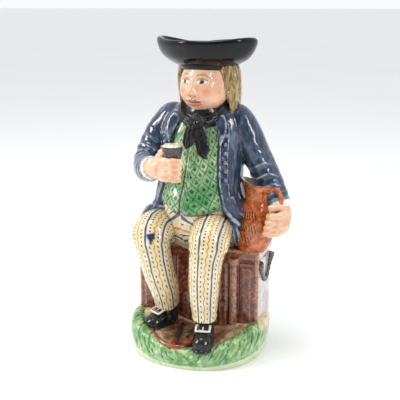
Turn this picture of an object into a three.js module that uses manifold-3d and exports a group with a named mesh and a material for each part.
// A toby jug: a hollow glazed earthenware jug in the shape of a seated sailor.
// The sailor sits on a sea chest that stands on a grassy mound, holds a beaker and a small jug,
// and wears a three-cornered hat whose upturned brim is the mouth of the vessel.
// The whole jug is fired as one piece, so it is one solid. Millimetres, +Z up, the sailor faces -Y,
// and the origin is the centre of the flat underside.
import * as THREE from "three";
import { mergeVertices } from "three/addons/utils/BufferGeometryUtils.js";
import Module from "manifold-3d";

const wasm = await Module();
wasm.setup();

// Driving dimensions
const BASE_HALF_WIDTH = 63.5;
const BASE_FRONT_REACH = 62.5;
const BASE_BACK_REACH = 70;
const BASE_RIM_HEIGHT = 17; // top of the grassy rim in front
const MOUND_RISE = 14; // how much higher the mound stands beside and behind the chest
const CHEST_WIDTH = 116;
const CHEST_FRONT = -7; // where the chest's front face stands, along Y
const CHEST_DEPTH = 53;
const CHEST_TOP = 100;
const CHEST_LID_HEIGHT = 8;
const POST_RADIUS = 4.6;
const ROPE_RADIUS = 2.4;
const FIGURE_HEIGHT = 190; // from the seat to the corners of the hat
const HAT_CORNER_REACH = 48;
const HAT_FRONT_REACH = 37;
const BRIM_THICKNESS = 4;
const HAT_MOUTH_RADIUS = 17; // the hole in the floor of the hat
const HANDLE_REACH = 31; // how far the handle stands out behind the back
const HANDLE_WIDTH = 15;
const HANDLE_THICKNESS = 9;
const WALL = 5;
const FLOOR = 7;
const SMALL_JUG_HEIGHT = 62;
const SMALL_JUG_RADIUS = 18.5;
const SMALL_JUG_WALL = 2.5;
const SHOE_LENGTH = 35;
const SHOE_WIDTH = 19;
const TROUSER_RADIUS = 18;
const HEM_RADIUS = 11;
const SLEEVE_RADIUS = 13;
const FINGER_RADIUS = 3.2;
const BUTTON_RADIUS = 1.7;
const ANCHOR_SHANK_WIDTH = 5.5;

// Sizes that follow
const CHEST_BACK = CHEST_FRONT + CHEST_DEPTH;
const CHEST_HALF = CHEST_WIDTH / 2;
const DESIGN_FIGURE = 190; // the figure's shares below are written for this height
const FIG = FIGURE_HEIGHT / DESIGN_FIGURE;
const TAU = 2 * Math.PI;
const deg = THREE.MathUtils.degToRad;
const lerp = THREE.MathUtils.lerp;

// A point of the figure, from the middle of the seat, in shares of the figure's height.
const fig = (x, y, z) => new THREE.Vector3(x * FIG, y * FIG, CHEST_TOP + z * FIG);
const vec = (x, y, z) => new THREE.Vector3(x, y, z);

// Height of the mound over (x, y): low in front of the left shoe, higher at both sides and behind.
function moundHeight(x, y) {
  const out = Math.abs(x / BASE_HALF_WIDTH - 0.13) + (0.5 * y) / BASE_BACK_REACH;
  return BASE_RIM_HEIGHT + MOUND_RISE * THREE.MathUtils.smoothstep(out, -0.24, 0.8);
}

// Closes a row of rings into one surface, with a fan over each end, and gives it as a solid.
function loft(rings) {
  const n = rings[0].length;
  const positions = [];
  const faces = [];
  const ends = [rings[0], rings[rings.length - 1]].map((ring) =>
    ring.reduce((sum, p) => sum.add(p), vec(0, 0, 0)).divideScalar(n),
  );
  rings.flat().forEach((p) => positions.push(p.x, p.y, p.z));
  ends.forEach((p) => positions.push(p.x, p.y, p.z));
  const first = rings.length * n;
  for (let i = 0; i < n; i++) {
    const j = (i + 1) % n;
    for (let r = 0; r + 1 < rings.length; r++) {
      const a = r * n;
      const b = a + n;
      faces.push(a + i, a + j, b + j, a + i, b + j, b + i);
    }
    const last = (rings.length - 1) * n;
    faces.push(first, j, i, first + 1, last + i, last + j);
  }
  const geometry = new THREE.BufferGeometry();
  geometry.setAttribute("position", new THREE.Float32BufferAttribute(positions, 3));
  geometry.setIndex(faces);
  return solid(geometry);
}

// A closed geometry as a solid, with its faces turned outwards.
function solid(geometry) {
  const bare = geometry.clone();
  bare.deleteAttribute("normal");
  bare.deleteAttribute("uv");
  const merged = mergeVertices(bare, 1e-4);
  const vertProperties = new Float32Array(merged.attributes.position.array);
  const triVerts = new Uint32Array(merged.index.array);
  const made = new wasm.Manifold(new wasm.Mesh({ numProp: 3, vertProperties, triVerts }));
  if (made.volume() > 0) return made;
  for (let i = 0; i < triVerts.length; i += 3) {
    [triVerts[i + 1], triVerts[i + 2]] = [triVerts[i + 2], triVerts[i + 1]];
  }
  return new wasm.Manifold(new wasm.Mesh({ numProp: 3, vertProperties, triVerts }));
}

// Joins solids into one.
const joined = (solids) => solids.reduce((sum, s) => sum.add(s));

// A sphere stretched to three half-axes, then turned about Z and placed.
function ellipsoid(centre, rx, ry, rz, turn = 0, around = 12, down = 8) {
  const geometry = new THREE.SphereGeometry(1, around, down);
  geometry.rotateX(Math.PI / 2).scale(rx, ry, rz).rotateZ(turn);
  return solid(geometry.translate(centre.x, centre.y, centre.z));
}

// A tube of changing oval section along a smooth path. Each station is [point, across, deep];
// across lies along the level direction nearest to the side vector, deep lies square to it.
function limb(stations, sides, steps, side = vec(1, 0, 0)) {
  const path = new THREE.CatmullRomCurve3(stations.map((s) => s[0]));
  const sizes = stations.map((s) => s.slice(1));
  const rings = [];
  for (let k = 0; k <= steps; k++) {
    const t = k / steps;
    const p = path.getPoint(t);
    const along = path.getTangent(t);
    const across = side.clone().addScaledVector(along, -side.dot(along)).normalize();
    const deep = along.clone().cross(across);
    const place = t * (sizes.length - 1);
    const low = Math.min(Math.floor(place), sizes.length - 2);
    const share = THREE.MathUtils.smoothstep(place - low, 0, 1);
    const [rx, ry] = [0, 1].map((c) => lerp(sizes[low][c], sizes[low + 1][c], share));
    rings.push(
      Array.from({ length: sides }, (_, i) => {
        const angle = (TAU * i) / sides;
        return p
          .clone()
          .addScaledVector(across, rx * Math.cos(angle))
          .addScaledVector(deep, ry * Math.sin(angle));
      }),
    );
  }
  return loft(rings);
}

// A level oval ring of the figure: half-width a, and its own reach to the front and to the back.
function oval([z, cx, cy, a, front, back], sides, grow = 0, wave = () => 1) {
  return Array.from({ length: sides }, (_, i) => {
    const angle = (TAU * i) / sides;
    const reach = Math.sin(angle) < 0 ? front : back;
    const w = wave(angle, z);
    return fig(
      cx + (a + grow) * w * Math.cos(angle),
      cy + (reach + grow) * w * Math.sin(angle),
      z,
    );
  });
}

// The trunk under the coat: height, middle, half-width, reach to the front and to the back.
const TRUNK = [
  [-4, 0, 14, 36, 24, 29],
  [12, 0, 9, 36.5, 40, 32],
  [30, 0, 4, 38, 40.5, 34],
  [48, 0, 3, 37.5, 38.5, 33],
  [66, 0, 4, 36, 34.5, 31],
  [88, 0, 7, 36.5, 29, 28],
  [108, 0, 9, 38, 25, 26],
  [120, 1, 10, 34, 22, 23],
  [129, 2, 8, 23, 17, 19],
  [136, 4, 4, 14.5, 14.5, 14.5],
];
// The trunk's ring at any height between the rows above.
function trunkAt(z) {
  const i = Math.max(1, TRUNK.findIndex((r) => r[0] >= z));
  const share = (z - TRUNK[i - 1][0]) / (TRUNK[i][0] - TRUNK[i - 1][0]);
  return TRUNK[i].map((v, c) => (c ? lerp(TRUNK[i - 1][c], v, share) : z));
}
// A point on the trunk, or proud of it, at a height and an angle; -90 degrees is the front.
function onTrunk(z, angle, proud) {
  const [, cx, cy, a, front, back] = trunkAt(z);
  const reach = Math.sin(angle) < 0 ? front : back;
  return fig(cx + (a + proud) * Math.cos(angle), cy + (reach + proud) * Math.sin(angle), z);
}

// Where the coat's two front edges run: height, angle of the right edge and of the left edge.
const COAT_EDGES = [
  [2, -163, -3],
  [18, -154, -16],
  [35, -141, -37],
  [50, -132, -45],
  [72, -121, -50],
  [94, -113, -55],
  [110, -109, -59],
  [126, -104, -67],
];
// A shell on the trunk, between two rows of angles, as thick as proud plus what is sunk in.
function shell(rows, proud, sunk, arcs) {
  const rings = rows.map(([z, from, to, flare = 0]) => {
    const turn = (i) => deg(lerp(from, to < from ? to + 360 : to, i / arcs));
    const outer = Array.from({ length: arcs + 1 }, (_, i) => onTrunk(z, turn(i), proud + flare));
    const inner = Array.from({ length: arcs + 1 }, (_, i) => onTrunk(z, turn(arcs - i), -sunk));
    return [...outer, ...inner];
  });
  return loft(rings);
}

// The base seen from above, at a share of its size: rounder in front than behind.
function basePlan(angle, share) {
  const [c, s] = [Math.cos(angle), Math.sin(angle)];
  const [reach, power] = s < 0 ? [BASE_FRONT_REACH, 2.2] : [BASE_BACK_REACH, 2.6];
  return [
    share * BASE_HALF_WIDTH * Math.sign(c) * Math.abs(c) ** (2 / power),
    share * reach * Math.sign(s) * Math.abs(s) ** (2 / power),
  ];
}
function mound() {
  const sides = 32;
  const profile = [
    [0.97, 0, 0],
    [0.99, 0.25, 0.2],
    [1, 0.68, 0.6],
    [0.98, 0.94, 0.9],
    [0.9, 1.03, 1],
    [0.7, 1.08, 1],
    [0.4, 1.12, 1],
  ];
  const rings = profile.map(([share, rim, rise]) =>
    Array.from({ length: sides }, (_, i) => {
      const [x, y] = basePlan((TAU * i) / sides, share);
      return vec(x, y, rim * BASE_RIM_HEIGHT + rise * (moundHeight(x, y) - BASE_RIM_HEIGHT));
    }),
  );
  return loft(rings);
}

// Blades of moulded grass that lean along the rim, round the front and the sides.
function grass() {
  const blades = 13;
  return Array.from({ length: blades }, (_, i) => {
    const angle = deg(lerp(196, 344, i / (blades - 1)));
    const onRim = (share, turn, z) => vec(...basePlan(angle + turn, share), z * BASE_RIM_HEIGHT);
    const stations = [
      [onRim(0.98, 0.05, 0.25), 1.6, 1.6],
      [onRim(0.985, -0.02, 0.6), 2.4, 2.2],
      [onRim(0.965, -0.11, 0.95), 1.4, 1.2],
    ];
    return limb(stations, 4, 2, vec(-Math.sin(angle), Math.cos(angle), 0));
  });
}

// The outline of the chest seen from above, shrunk on all sides by inset.
function chestPlan(inset, corner) {
  const [w, front, back] = [CHEST_HALF - inset, CHEST_FRONT + inset, CHEST_BACK - inset];
  const plan = new THREE.Shape();
  plan.moveTo(-w, front).lineTo(w, front).lineTo(w, back - corner);
  plan.absarc(w - corner, back - corner, corner, 0, Math.PI / 2, false);
  plan.absarc(corner - w, back - corner, corner, Math.PI / 2, Math.PI, false);
  return plan;
}
function extruded(shape, low, high) {
  const geometry = new THREE.ExtrudeGeometry(shape, {
    depth: high - low,
    bevelEnabled: false,
    curveSegments: 3,
  });
  return solid(geometry.translate(0, 0, low));
}
function block(x0, x1, y0, y1, z0, z1) {
  const geometry = new THREE.BoxGeometry(x1 - x0, y1 - y0, z1 - z0);
  return solid(geometry.translate((x0 + x1) / 2, (y0 + y1) / 2, (z0 + z1) / 2));
}

function chest() {
  const foot = BASE_RIM_HEIGHT * 0.8;
  const lidBottom = CHEST_TOP - CHEST_LID_HEIGHT;
  const backCorner = 9;
  const postPlace = CHEST_HALF * 0.62;
  const parts = [
    extruded(chestPlan(0, backCorner), foot, CHEST_TOP - 0.5),
    extruded(chestPlan(-1.5, backCorner), lidBottom, CHEST_TOP),
  ];
  for (const sign of [-1, 1]) {
    const post = new THREE.CylinderGeometry(POST_RADIUS, POST_RADIUS * 1.15, lidBottom - foot, 8);
    post.rotateX(Math.PI / 2);
    post.translate(sign * postPlace, CHEST_FRONT, (lidBottom + foot) / 2);
    parts.push(solid(post));
    // The corner bead and the raised frame of the outer panel
    const bead = new THREE.CylinderGeometry(2.6, 2.8, lidBottom - foot, 5);
    bead.rotateX(Math.PI / 2);
    bead.translate(sign * (CHEST_HALF - 1.2), CHEST_FRONT + 1.2, (lidBottom + foot) / 2);
    parts.push(solid(bead));
    const inner = postPlace + POST_RADIUS + 2;
    const outer = CHEST_HALF - 3.4;
    const [left, right] = sign < 0 ? [-outer, -inner] : [inner, outer];
    parts.push(
      block(left, right, CHEST_FRONT - 1.6, CHEST_FRONT + 2, BASE_RIM_HEIGHT + 8, lidBottom - 3),
    );
    parts.push(ropeHandle(sign));
  }
  return joined(parts);
}

// A rope handle that hangs on an end of the chest, with a knot at each end.
function ropeHandle(sign) {
  const middle = (CHEST_FRONT + CHEST_BACK) / 2;
  const half = CHEST_DEPTH * 0.34;
  const top = CHEST_TOP - 16;
  const drop = CHEST_TOP * 0.18;
  const face = sign * (CHEST_HALF + ROPE_RADIUS * 0.5);
  const stations = [-1.08, -1, -0.75, 0, 0.75, 1, 1.08].map((t) => {
    const thick = ROPE_RADIUS * (Math.abs(t) > 0.9 ? 1.7 : 1);
    return [vec(face, middle + half * t, top - drop * (1 - t * t)), thick, thick];
  });
  return limb(stations, 5, 12);
}

function trunk() {
  return loft(TRUNK.map((ring) => oval(ring, 20)));
}

function coat() {
  const rows = COAT_EDGES.map(([z, right, left]) => {
    const flare = 6 * THREE.MathUtils.smoothstep(-z, -52, -33);
    return [z, left, right, flare];
  });
  const body = shell(rows, 3, 3, 13);
  // Facings beside both front edges, from the lapel to the waist
  const facings = [
    [46, 0],
    [70, 0],
    [94, 0],
    [114, 2],
  ];
  const edgeAt = (z, side) => {
    const i = Math.max(1, COAT_EDGES.findIndex((r) => r[0] >= z));
    const [a, b] = [COAT_EDGES[i - 1], COAT_EDGES[i]];
    return lerp(a[side], b[side], (z - a[0]) / (b[0] - a[0]));
  };
  const width = 15;
  const left = shell(
    facings.map(([z, wide]) => [z, edgeAt(z, 2) + 1, edgeAt(z, 2) + width + wide]),
    4.6,
    1,
    3,
  );
  const right = shell(
    facings.map(([z, wide]) => [z, edgeAt(z, 1) - width - wide, edgeAt(z, 1) - 1]),
    4.6,
    1,
    3,
  );
  const buttons = [
    [2, 6, width * 0.6],
    [1, 3, -width * 0.6],
  ].flatMap(([side, count, shift]) =>
    Array.from({ length: count }, (_, i) => {
      const z = 104 - 10 * i;
      const place = onTrunk(z, deg(edgeAt(z, side) + shift), 5);
      return ellipsoid(place, BUTTON_RADIUS, BUTTON_RADIUS, BUTTON_RADIUS, 0, 5, 3);
    }),
  );
  // Turned-down collar round the back of the neck
  const collar = loft(
    [
      [110, 1, 11, 37, 23, 27],
      [122, 2, 11, 34, 20, 25],
      [131, 3, 10, 26, 16, 22],
      [136, 4, 8, 20, 14, 19],
    ].map((ring) => oval(ring, 14)),
  );
  // The skirt over the right thigh
  const skirt = limb(
    [
      [fig(-25, 8, 20), 20.5 * FIG, 20 * FIG],
      [fig(-30, -10, 21.5), 22 * FIG, 21 * FIG],
      [fig(-32, -25, 21.5), 20.5 * FIG, 20.5 * FIG],
    ],
    12,
    3,
    vec(1, 0, 0),
  );
  return joined([body, left, right, ...buttons, collar, skirt, tails()]);
}

// The coat's tails, which fall over the back of the chest.
function tails() {
  const rows = [
    [14, 30, 32, 14],
    [0, 36, 36, 12],
    [-18, 42, 39, 9],
    [-50, 45, 43, 5],
  ];
  const sides = 14;
  return loft(
    rows.map(([z, cy, a, b]) =>
      Array.from({ length: sides }, (_, i) => {
        const angle = (TAU * i) / sides;
        const fold = z < 0 ? 1 + 0.1 * Math.cos(5 * angle) : 1;
        return fig(a * Math.cos(angle), cy + b * fold * Math.sin(angle), z);
      }),
    ),
  );
}

// The waistcoat's lower edge stands proud of the belly, with a notch below the middle.
function waistcoatHem() {
  const rows = [
    [35, -146, -34],
    [41, -146, -34],
    [48, -142, -38],
  ];
  return shell(rows, 1.6, 2, 8);
}

function sleeves() {
  const r = SLEEVE_RADIUS;
  const sleeve = (stations, side) =>
    limb(stations.map(([p, share]) => [p, r * share, r * share]), 10, 11, side);
  const right = sleeve(
    [
      [fig(-13, 11, 108), 0.7],
      [fig(-29, 11, 118), 1],
      [fig(-39, 8, 107), 1.02],
      [fig(-45, 0, 92), 1.01],
      [fig(-46.5, -12, 79), 1],
      [fig(-41, -26, 75), 0.94],
      [fig(-31, -39.5, 77.5), 0.86],
    ],
    vec(1, 0.5, -1),
  );
  const left = sleeve(
    [
      [fig(13, 11, 108), 0.7],
      [fig(30, 11, 119), 1],
      [fig(40, 11, 107), 1.02],
      [fig(47.5, 12, 91), 1],
      [fig(57, 13, 73), 0.98],
      [fig(66.5, 11.5, 55), 0.92],
      [fig(73.5, 7.5, 43), 0.84],
    ],
    vec(0, 1, 0),
  );
  const cuff = (from, to, side) => limb([from, to].map((p) => [p, r * 0.74, r * 0.74]), 8, 1, side);
  return joined([
    right,
    left,
    cuff(fig(-33, -38, 77.5), fig(-28, -43, 79), vec(0, 0, 1)),
    cuff(fig(73, 8, 45), fig(76.5, 4, 38), vec(0, 1, 0)),
  ]);
}

// A fist: a palm with four fingers laid side by side, each a bent tube with a round tip, and a thumb.
function fist(palm, fingers, thumb) {
  const r = FINGER_RADIUS * FIG;
  const digit = (points, share) => {
    const radii = [r, r, r * 0.95, r * 0.45].map((v) => v * share);
    return limb(points.map((p, i) => [p, radii[i], radii[i]]), 5, 4, vec(0, 0, 1));
  };
  return joined([palm, ...fingers.map((points) => digit(points, 1)), digit(thumb, 1.1)]);
}
function rightHand() {
  const palm = limb(
    [
      [fig(-31, -41, 78), 9 * FIG, 8.5 * FIG],
      [fig(-21, -47, 79), 11 * FIG, 8 * FIG],
      [fig(-12, -49, 79), 10 * FIG, 7 * FIG],
      [fig(-7, -48, 79), 7 * FIG, 5 * FIG],
    ],
    8,
    3,
    vec(0, 0, 1),
  );
  const fingers = [0, 1, 2, 3].map((i) => {
    const z = 88.5 - 5.4 * i;
    const back = 0.8 * i;
    return [
      fig(-22 + back, -51, z - 0.5),
      fig(-14, -57 + back, z),
      fig(-6, -59 + back, z),
      fig(1 - back, -56 + back, z - 0.3),
    ];
  });
  const thumb = [fig(-23, -47, 87), fig(-20, -50, 92), fig(-17, -52, 96), fig(-14.5, -52, 99)];
  return fist(palm, fingers, thumb);
}
function leftHand() {
  const palm = limb(
    [
      [fig(75.5, 5, 40), 8 * FIG, 8.5 * FIG],
      [fig(77.5, 0, 34), 8.5 * FIG, 9.5 * FIG],
      [fig(77.5, -4, 27), 8 * FIG, 9 * FIG],
      [fig(76, -6, 20), 6 * FIG, 6 * FIG],
    ],
    8,
    3,
    vec(0, 1, 0),
  );
  const fingers = [0, 1, 2, 3].map((i) => {
    const z = 36.5 - 5.4 * i;
    return [
      fig(82 - i, -4, z + 1),
      fig(79 - i, -12, z + 0.5),
      fig(73.5 - i, -14.5, z),
      fig(67 - i, -12, z - 0.5),
    ];
  });
  const thumb = [fig(79, 0, 40), fig(76, -6, 43), fig(72, -10, 43), fig(68, -12, 42)];
  return fist(palm, fingers, thumb);
}

// The beaker in the right hand, full to a low head of froth.
function beaker() {
  const profile = [
    [0, 66],
    [6, 66],
    [6.6, 84],
    [9, 96],
    [9.8, 100],
    [8.2, 101.4],
    [0, 102.6],
  ].map(([r, z]) => new THREE.Vector2(r * FIG, z * FIG));
  const geometry = new THREE.LatheGeometry(profile, 14).rotateX(Math.PI / 2);
  return solid(geometry.rotateY(0.03).translate(-11 * FIG, -50.5 * FIG, CHEST_TOP));
}

// The small jug on the corner of the chest: an oval-lipped pitcher with a hollow mouth.
const smallJugFoot = () => vec(CHEST_HALF - 9, CHEST_FRONT + 12.5, CHEST_TOP - 1);
const SMALL_JUG_LEAN = deg(6);
function smallJugPoint(radius, height, angle, spout = 0) {
  const lip = spout * Math.max(0, -Math.cos(angle)) ** 3;
  const p = vec((radius + lip) * Math.cos(angle), radius * Math.sin(angle), height + lip * 0.6);
  return p.applyAxisAngle(vec(0, 1, 0), SMALL_JUG_LEAN).add(smallJugFoot());
}
function smallJug() {
  const [h, r, sides] = [SMALL_JUG_HEIGHT, SMALL_JUG_RADIUS, 15];
  const profile = [
    [0.72, 0, 0],
    [0.93, 0.18, 0],
    [1, 0.37, 0],
    [0.93, 0.53, 0],
    [0.72, 0.68, 0],
    [0.6, 0.8, 0],
    [0.7, 1, 5],
  ];
  const ring = ([share, height, spout]) =>
    Array.from({ length: sides }, (_, i) =>
      smallJugPoint(share * r, height * h, (TAU * i) / sides, spout),
    );
  const body = loft(profile.map(ring));
  const hollow = loft(
    [
      [0.7 - SMALL_JUG_WALL / r, 0.6, 0],
      [0.6 - SMALL_JUG_WALL / r, 0.8, 0],
      [0.73 - SMALL_JUG_WALL / r, 1.06, 6],
    ].map(ring),
  );
  const strap = [
    [0.55, 0.92],
    [0.95, 0.97],
    [1.35, 0.86],
    [1.45, 0.64],
    [1.2, 0.44],
    [0.9, 0.36],
  ].map(([out, up]) => [smallJugPoint(out * r, up * h, -0.25), 3, 2.3]);
  return { body: body.add(limb(strap, 6, 8, vec(0, 1, 0))), hollow };
}

// A trouser leg along a path; the radii are shares of the thigh's.
function leg(points) {
  const shares = [0.98, 0.98, 1.02, 0.85, 0.8, 0.74, HEM_RADIUS / TROUSER_RADIUS];
  return limb(points.map((p, i) => [p, TROUSER_RADIUS * shares[i], TROUSER_RADIUS * shares[i]]), 11, 12);
}
// The thighs lie on the seat, and the shins hang before the chest down to the mound.
const thighZ = CHEST_TOP + TROUSER_RADIUS;
const ankleZ = BASE_RIM_HEIGHT + 28.5;
const shin = (x, ahead, share) => vec(x, CHEST_FRONT - ahead, lerp(ankleZ, CHEST_TOP + 2, share));
function legs() {
  const right = leg([
    fig(-21, 8, 19),
    fig(-28, -13, 20),
    vec(-33, CHEST_FRONT - 28, thighZ - 2),
    shin(-31, 30, 1),
    shin(-27, 29, 0.66),
    shin(-24.5, 22, 0.33),
    RIGHT_ANKLE,
  ]);
  const left = leg([
    fig(14, 8, 19),
    fig(18, -14, 20),
    vec(23, CHEST_FRONT - 33, thighZ - 2),
    shin(21.5, 36, 1),
    shin(20, 36, 0.66),
    shin(19, 34, 0.33),
    LEFT_ANKLE,
  ]);
  return joined([right, left]);
}
const RIGHT_ANKLE = shin(-25, 14, 0);
const LEFT_ANKLE = shin(18, 30, -0.05);

// A buckled shoe below an ankle, pointing along a turn from straight ahead.
function shoe(ankle, turn) {
  const ahead = vec(Math.sin(turn), -Math.cos(turn), 0);
  const side = vec(Math.cos(turn), Math.sin(turn), 0);
  const sole = moundHeight(ankle.x, ankle.y - SHOE_LENGTH * 0.4) + 1;
  const heel = ankle.clone().addScaledVector(ahead, -0.24 * SHOE_LENGTH);
  const at = (share, z) => heel.clone().addScaledVector(ahead, share * SHOE_LENGTH).setZ(sole + z);
  const rise = ankle.z - sole;
  const w = SHOE_WIDTH / 2;
  const body = limb(
    [
      [at(0, rise * 0.36), w * 0.72, rise * 0.36],
      [at(0.25, rise * 0.36), w * 0.95, rise * 0.5],
      [at(0.55, rise * 0.27), w, rise * 0.4],
      [at(0.88, rise * 0.22), w * 0.9, rise * 0.32],
      [at(1, rise * 0.18), w * 0.5, rise * 0.18],
    ],
    9,
    6,
    side,
  );
  const top = limb(
    [
      [at(0.22, rise * 0.4), w * 0.95, w * 0.95],
      [ankle.clone().setZ(ankle.z + 3), w, w],
    ],
    8,
    1,
  );
  // The buckle: a square frame across the instep
  const buckle = new THREE.TorusGeometry(6.6, 1.3, 4, 4).rotateZ(Math.PI / 4).scale(1, 0.66, 1);
  buckle.rotateX(deg(20)).rotateZ(turn);
  const seat = at(0.55, rise * 0.63);
  return joined([body, top, solid(buckle.translate(seat.x, seat.y, seat.z))]);
}

// An anchor that lies on the mound between the shoes: curved arms with flukes, and a shank.
function anchor() {
  const ground = BASE_RIM_HEIGHT + 2.5;
  const low = vec(-6, -BASE_FRONT_REACH + 6.5, ground);
  const arm = [
    vec(-37, -33, ground + 2.5),
    vec(-27, -45, ground + 1),
    low,
    vec(2, -43, ground + 1),
    vec(7, -31, ground + 2.5),
  ];
  const arms = limb(arm.map((p, i) => [p, i % 4 ? 2.4 : 1, i % 4 ? 2.6 : 1]), 5, 8, vec(0, 0, 1));
  const shank = limb(
    [
      [low.clone().add(vec(0, 1, 0)), ANCHOR_SHANK_WIDTH / 2, 2.4],
      [vec(-13, CHEST_FRONT - 1, ground + 4), ANCHOR_SHANK_WIDTH / 2, 2.4],
    ],
    6,
    1,
  );
  return joined([arms, shank]);
}

// The head's own frame: it looks a little towards the beaker.
const HEAD_TURN = deg(-10);
const HEAD = () => fig(5.5, -1, 149);
function headPoint(x, y, z) {
  return vec(x, y, z).multiplyScalar(FIG).applyAxisAngle(vec(0, 0, 1), HEAD_TURN).add(HEAD());
}
// How far the face stands out, before or behind a plain egg, at x across and z up from its middle.
function relief(x, z) {
  const bump = (cx, cz, wx, wz) => Math.exp(-(((x - cx) / wx) ** 2) - ((z - cz) / wz) ** 2);
  const pair = (cx, cz, wx, wz) => bump(cx, cz, wx, wz) + bump(-cx, cz, wx, wz);
  const down = THREE.MathUtils.smoothstep(-z, -9, 6) * (1 - THREE.MathUtils.smoothstep(-z, 6.5, 10));
  const ridge = (1 + 6 * down) * Math.exp(-((x / (2 + 1.6 * down)) ** 2)) * down;
  const brow = 1.6 * pair(8.5, 9.5, 6.5, 2);
  const eye = 2.2 * pair(8.4, 4, 3.8, 2.6) - 3 * pair(8, 4.5, 6, 4);
  const cheek = 2 * pair(11.5, -6, 6, 6) + 1.8 * pair(3.6, -6.3, 2.2, 2);
  const lips = 1.9 * bump(0, -12, 6, 1.6) + 2 * bump(0, -15.6, 5, 1.8) - 0.8 * bump(0, -13.8, 6, 0.9);
  return ridge + brow + eye + cheek + lips + 2.4 * bump(0, -21, 6, 4);
}
function head() {
  // Both ways round, the grid is closer on the face than elsewhere.
  const [around, down] = [26, 18];
  const rings = [];
  for (let j = 1; j < down; j++) {
    const v = j / down - 0.5;
    const up = Math.PI * v - 0.35 * Math.cos(Math.PI * v) - 0.1 * Math.sin(TAU * v);
    const ring = [];
    for (let i = 0; i < around; i++) {
      const u = (TAU * i) / around;
      const turn = u - 0.5 * Math.sin(u);
      const x = 21.5 * Math.sin(turn) * Math.cos(up);
      const z = 26 * Math.sin(up);
      const front = Math.max(0, Math.cos(turn)) * Math.cos(up);
      ring.push(headPoint(x, -24 * Math.cos(turn) * Math.cos(up) - relief(x, z) * front ** 0.5, z));
    }
    rings.push(ring);
  }
  return loft(rings);
}

// Hair that falls in flutes round the sides and the back of the head to the collar.
function hair() {
  const rows = [
    [171, 4, 25, 20, 26],
    [160, 5, 27.5, 14, 30],
    [147, 5, 28.2, 12, 31],
    [134, 6, 27.5, 10, 30],
    [122, 8, 25, 8, 28],
    [110, 12, 17, 5, 23],
  ];
  const flutes = (angle, z) => 1 + 0.035 * Math.cos(10 * angle + 0.22 * z);
  return loft(
    rows.map(([z, cy, a, front, back]) =>
      oval([z, 5.5, cy, a, front, back], 28, 0, flutes).map((p) => {
        const middle = fig(5.5, cy, z);
        return p.sub(middle).applyAxisAngle(vec(0, 0, 1), HEAD_TURN).add(middle);
      }),
    ),
  );
}

function neckerchief() {
  const band = new THREE.TorusGeometry(19, 4, 5, 16).scale(FIG, FIG * 1.22, FIG * 1.2);
  band.rotateX(deg(36)).translate(4 * FIG, 0, CHEST_TOP + 130 * FIG);
  const knot = ellipsoid(fig(6, -24, 120.5), 9.5 * FIG, 5 * FIG, 5.5 * FIG, 0, 8, 5);
  const tail = (from, to, length, wide) =>
    limb(
      [
        [fig(from, -25, 119), 4 * FIG, 2.5 * FIG],
        [fig(lerp(from, to, 0.6), -27, 119 - length * 0.6), wide * FIG, 2.5 * FIG],
        [fig(to, -28, 119 - length), 1 * FIG, 0.8 * FIG],
      ],
      5,
      3,
    );
  return joined([solid(band), knot, tail(3, 4, 22, 5), tail(8, 17, 28, 5.5)]);
}

// The hat: how far its brim reaches at an angle round the head, and how high it is turned up.
const HAT_TILT = deg(5);
const cornerShare = (angle) => {
  // The corners stand over both temples and the back of the head; the front runs flat between two.
  const corners = [0, 90, 180].map(deg);
  return Math.max(
    ...corners.map((c) => {
      const away = Math.abs(Math.atan2(Math.sin(angle - c), Math.cos(angle - c)));
      return Math.exp(-((away / 0.62) ** 2));
    }),
  );
};
function hatPoint(angle, radius, height) {
  const p = vec(radius * Math.cos(angle), radius * Math.sin(angle), height);
  p.applyAxisAngle(vec(1, 0, 0), -HAT_TILT).applyAxisAngle(vec(0, 0, 1), HEAD_TURN);
  return p.multiplyScalar(FIG).add(fig(4.5, 2.5, 168));
}
// Reach, height and where the side turns upwards, for one point of the hat's section.
function hatSection(angle, out, up, inward) {
  const c = cornerShare(angle);
  const reach = lerp(HAT_FRONT_REACH, HAT_CORNER_REACH, c) - inward;
  const rim = lerp(17, 22, c);
  return hatPoint(angle, lerp(HAT_FLOOR_RADIUS - inward, reach, out), rim * up + inward * (1 - up));
}
const HAT_FLOOR_RADIUS = 24;
function hat() {
  const sides = 28;
  const t = BRIM_THICKNESS;
  const outside = [
    [0, -0.16, 0],
    [0.36, 0, 0],
    [0.68, 0.22, 0],
    [0.9, 0.55, 0],
    [1, 0.96, 0],
  ];
  const inside = [
    [0.985, 1.03, t * 0.5],
    [1, 0.96, t],
    [0.88, 0.55, t],
    [0.62, 0.24, t],
    [0.2, 0.04, t],
  ];
  return loft(
    [...outside, ...inside].map(([out, up, inward]) =>
      Array.from({ length: sides }, (_, i) => hatSection((TAU * i) / sides, out, up, inward)),
    ),
  );
}

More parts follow.
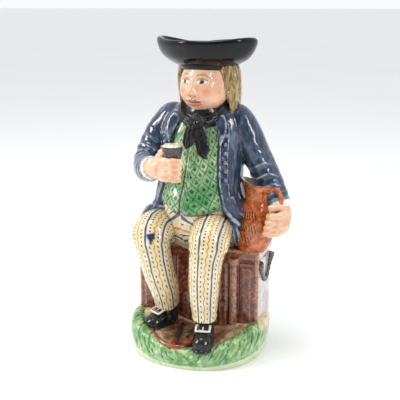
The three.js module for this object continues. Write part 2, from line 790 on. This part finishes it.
// The strap handle behind, from between the shoulders down to the tails.
function handle() {
  const back = CHEST_BACK + HANDLE_REACH - HANDLE_THICKNESS / 2;
  const [w, t] = [HANDLE_WIDTH / 2, HANDLE_THICKNESS / 2];
  return limb(
    [
      [fig(1, 28, 104), w * 1.2, t * 1.3],
      [fig(1, 42, 110), w, t],
      [vec(1, back - 8, CHEST_TOP + 102 * FIG), w, t],
      [vec(1, back, CHEST_TOP + 72 * FIG), w, t],
      [vec(1, back - 2, CHEST_TOP + 36 * FIG), w, t],
      [vec(1, back - 14, CHEST_TOP + 4), w, t],
      [vec(1, CHEST_BACK - 1, CHEST_TOP - 14), w * 1.1, t * 1.3],
    ],
    9,
    16,
  );
}

// The hollow inside: the mouth in the hat, the head, the trunk and the chest, walls apart.
function hollow() {
  const shaft = limb(
    [
      [hatPoint(0, 0, 30), HAT_MOUTH_RADIUS, HAT_MOUTH_RADIUS],
      [hatPoint(0, 0, 2), HAT_MOUTH_RADIUS, HAT_MOUTH_RADIUS],
      [fig(5.5, -1, 150), 22 * FIG - WALL, 24 * FIG - WALL],
      [fig(4, 3, 134), 15 * FIG - WALL, 15 * FIG - WALL],
      [fig(2, 6, 118), 15 * FIG - WALL, 15 * FIG - WALL],
    ],
    14,
    8,
  );
  const trunkSpace = loft(
    TRUNK.slice(0, 8).map((ring) => oval(ring, 14, -WALL / FIG - (ring[0] < 0 ? 4 : 0))),
  );
  const chestSpace = extruded(chestPlan(WALL, 16), FLOOR, CHEST_TOP - WALL);
  const passage = loft([-9, 16].map((z) => oval([z, 0, 14, 25, 15, 18], 14)));
  return joined([shaft, trunkSpace, chestSpace, passage]);
}

function tobyJug() {
  const pitcher = smallJug();
  const clay = joined([
    mound(),
    ...grass(),
    chest(),
    trunk(),
    waistcoatHem(),
    coat(),
    sleeves(),
    legs(),
    shoe(RIGHT_ANKLE, deg(-32)),
    shoe(LEFT_ANKLE, deg(12)),
    anchor(),
    head(),
    hair(),
    neckerchief(),
    hat(),
    handle(),
    beaker(),
    pitcher.body.subtract(pitcher.hollow),
    rightHand(),
    leftHand(),
  ]);
  const jug = clay.subtract(hollow());
  const { vertProperties, triVerts } = jug.getMesh();
  const geometry = new THREE.BufferGeometry();
  geometry.setAttribute("position", new THREE.BufferAttribute(vertProperties, 3));
  geometry.setIndex(new THREE.BufferAttribute(triVerts, 1));
  geometry.computeVertexNormals();
  const glaze = new THREE.MeshStandardMaterial({
    color: 0xe9e2cc,
    roughness: 0.2,
    metalness: 0,
  });
  const mesh = new THREE.Mesh(geometry, glaze);
  mesh.name = "toby_jug";
  return mesh;
}

const jug = new THREE.Group();
jug.add(tobyJug());

export default jug;
